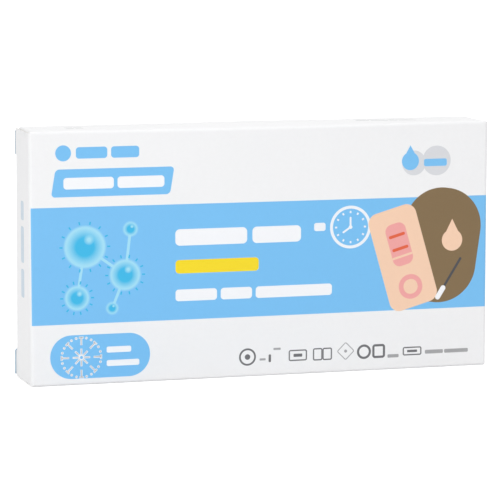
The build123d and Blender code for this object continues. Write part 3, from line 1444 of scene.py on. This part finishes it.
@dataclass
class Leaflet(CadSkin):
    """The folded instruction sheet."""

    node: str = "instruction_leaflet"
    body: str = "carton"
    slot: str = "leaflet_paper"
    half_length: float = 70.5
    half_height: float = 35.5
    centre_z: float = 35.95
    step: float = 6.0
    wave: float = 0.12
    line_pitch: float = 2.4
    margin: Point = (62.0, 30.0, 0.0)
    paper: Colour = (243, 242, 238)

    def __post_init__(self) -> None:
        """Places a grid over the leaves."""
        low, high = self.centre_z - self.half_height, self.centre_z + self.half_height
        across = grid(-self.half_length, self.half_length, self.step)
        self.cuts = {Axis.X: across, Axis.Z: grid(low, high, self.step)}

    def shift(self, point: Vector) -> Vector:
        """A slight wave shared by all the leaves, towards the room behind them.

        Args:
            point: A point of the skin, in millimetres.

        Returns:
            How far the point moves, in millimetres.
        """
        swing = max(0.0, noise.noise(Vector((point.x * 0.04, 2.0, point.z * 0.05))))
        return Vector((0.0, self.wave * swing * dome(point.x / self.half_length), 0.0))

    def materials(self) -> Sequence[bpy.types.Material]:
        """Thin white paper with rows of small grey print."""
        graph = Graph.named("leaflet_paper")
        page = Page(graph, Axis.X, Axis.Z)
        row = (page.y * (math.tau / self.line_pitch)).math("SINE")
        rows = (row * 4.0).math("ADD", -2.2, clamp=True)
        words = (graph.noise(2.2, 1.0, (1.0, 60.0, 60.0)) * 14.0 - 5.6).under(1.0).over(0.0)
        inside = page.within(page.past_box((0.0, self.centre_z, 0.0), self.margin), 0.4, 0.4)
        printed = rows * words * inside
        colour = graph.mix(printed * 0.55, linear_colour(self.paper), Ink.DARK.linear())
        return (
            graph.surface(
                Base_Color=graph.scaled(colour, graph.noise(5.0).between(0.97, 1.02)),
                Roughness=graph.noise(1.0).between(0.7, 0.8),
                Normal=graph.bump(graph.noise(0.4, 3.0), 0.012),
            ),
        )


@dataclass(frozen=True)
class Moulding:
    """A moulded plastic or foil finish for a node that keeps its own mesh."""

    node: str
    slot: str
    colour: Colour
    roughness: float
    metallic: float = 0.0
    coat: float = 0.0
    grain: float = 0.4
    depth: float = 0.004
    clear: float = 0.0

    def dress(self, nodes: Mapping[str, bpy.types.Object]) -> None:
        """Gives the node its finish.

        Args:
            nodes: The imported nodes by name.
        """
        graph = Graph.named(f"{self.node}_finish")
        cloud = graph.noise(4.0, 2.0).between(0.97, 1.03)
        material = graph.surface(
            Base_Color=graph.scaled(linear_colour(self.colour), cloud),
            Roughness=graph.noise(1.2).between(self.roughness - 0.06, self.roughness + 0.06),
            Metallic=self.metallic,
            Coat_Weight=self.coat,
            Subsurface_Weight=self.clear,
            Subsurface_Scale=2.0 * MM,
            Normal=graph.bump(graph.noise(self.grain, 3.0), self.depth),
        )
        node = nodes[self.node]
        node.data.materials.clear()
        node.data.materials.append(material)
        log.info("%s: %d faces", node.name, len(node.data.polygons))


@dataclass
class Kit:
    """What the carton holds."""

    skins: tuple[CadSkin, ...] = field(default_factory=lambda: (FoilPouch(), PeelPack(), Leaflet()))
    mouldings: tuple[Moulding, ...] = (
        Moulding("extraction_tube", "tube_plastic", (232, 237, 240), 0.34, coat=0.2, clear=0.4),
        Moulding("nozzle_cap", "cap_plastic", (240, 243, 247), 0.28, coat=0.3, clear=0.15),
        Moulding(
            "tube_seal", "seal_foil", (214, 216, 220), 0.32, metallic=1.0, grain=1.2, depth=0.03
        ),
    )

    def build(self, nodes: Mapping[str, bpy.types.Object]) -> None:
        """Args:
            nodes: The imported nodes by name.
        """
        for skin in self.skins:
            skin.build(nodes)
        for moulding in self.mouldings:
            moulding.dress(nodes)


@dataclass
class Carton:
    """The printed carton: its sleeve, its two end flaps and the folds that they turn on."""

    board: Board = field(default_factory=Board)

    def build(self, nodes: Mapping[str, bpy.types.Object]) -> None:
        """Builds every piece of the carton.

        Args:
            nodes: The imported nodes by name.
        """
        Sleeve(board=self.board).build(nodes)
        EndFlap(board=self.board, marks=end_marks()).build(nodes)
        EndFlap(
            board=self.board,
            node="right_tuck_flap",
            body="right_flap",
            heart_x=70.0,
            lean=(0.0, 0.0),
        ).build(nodes)
        Crease("left_fold", "left_flap", -1.0, self.board).build()
        Crease("right_fold", "right_flap", 1.0, self.board).build()


@dataclass(frozen=True)
class Lamp:
    """A soft square lamp, in metres and watts, that points at the carton's middle."""

    name: str
    place: Point
    size: float
    power: float
    target: Point = (0.0, 0.0, 0.04)

    def hang(self) -> None:
        """Puts the lamp into the scene."""
        data = bpy.data.lights.new(self.name, "AREA")
        data.size, data.energy = self.size, self.power
        lamp = placed(self.name, data)
        lamp.location = self.place
        direction = Vector(self.target) - Vector(self.place)
        lamp.rotation_euler = direction.to_track_quat("-Z", "Y").to_euler()


@dataclass
class Studio:
    """A white floor, soft light and the camera of the picture."""

    camera_place: Point = (-0.2346, -0.8299, 0.1519)
    camera_turn: Point = (82.56, 0.05, -15.69)
    lens: float = 194.9
    sensor: float = 36.0
    clip: tuple[float, float] = (0.01, 100.0)
    floor_size: float = 30.0
    floor_tone: Colour = (0.8, 0.8, 0.8)
    floor_glow: float = 0.6
    sky: float = 0.63
    lamps: tuple[Lamp, ...] = (
        Lamp("top_light", (0.1, 0.1, 1.1), 1.2, 4.0),
        Lamp("front_light", (-0.55, -0.95, 0.45), 0.8, 4.9),
    )

    def build(self) -> None:
        """Builds the studio."""
        self.make_camera()
        self.make_floor()
        self.make_sky()
        for lamp in self.lamps:
            lamp.hang()
        bpy.context.scene.view_settings.view_transform = "Standard"

    def make_camera(self) -> None:
        """Puts the camera where the picture was taken from."""
        data = bpy.data.cameras.new("camera")
        data.lens, data.sensor_width = self.lens, self.sensor
        data.clip_start, data.clip_end = self.clip
        camera = placed("camera", data)
        camera.location = self.camera_place
        camera.rotation_euler = Euler(tuple(math.radians(turn) for turn in self.camera_turn))
        bpy.context.scene.camera = camera

    def make_floor(self) -> None:
        """Lays a white floor that keeps the carton's shadow."""
        graph = Graph.named("floor_white")
        white = graph.node("ShaderNodeBsdfDiffuse", {}, {"Color": self.floor_tone})
        strength = self.seen(graph) * self.floor_glow
        glow = graph.node("ShaderNodeEmission", {}, {"Strength": strength})
        both = graph.node("ShaderNodeAddShader", {}, {0: white.outputs[0], 1: glow.outputs[0]})
        graph.node("ShaderNodeOutputMaterial", {}, {"Surface": both.outputs[0]})
        half = self.floor_size / 2
        mesh = bmesh.new()
        spots = ((-half, -half), (half, -half), (half, half), (-half, half))
        mesh.faces.new([mesh.verts.new((x, y, 0.0)) for x, y in spots])
        finished("floor", mesh, (graph.owner,))

    def seen(self, graph: Graph) -> Value:
        """Marks light that ends in the picture, seen directly, in a mirror or through glass.

        Args:
            graph: The tree of the floor's material or of the world.

        Returns:
            1 for such light and 0 for light on the object.
        """
        path = graph.node("ShaderNodeLightPath")
        straight = Value(graph, path.outputs["Is Camera Ray"])
        mirrored = Value(graph, path.outputs["Is Glossy Ray"])
        through = Value(graph, path.outputs["Is Transmission Ray"])
        return straight.over(mirrored).over(through)

    def make_sky(self) -> None:
        """Surrounds the scene with even white light."""
        world = bpy.data.worlds.new("studio")
        bpy.context.scene.world = world
        graph = Graph(world)
        sockets = {"Color": (1.0, 1.0, 1.0), "Strength": self.seen(graph).between(self.sky, 1.0)}
        sky = graph.node("ShaderNodeBackground", {}, sockets)
        graph.node("ShaderNodeOutputWorld", {}, {"Surface": sky.outputs[0]})


def main() -> None:
    """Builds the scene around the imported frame."""
    logging.basicConfig(level=logging.INFO, format="%(name)s: %(message)s")
    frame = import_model()
    Studio().build()
    Carton().build(frame["nodes"])
    Kit().build(frame["nodes"])


if __name__ == "__main__":
    main()
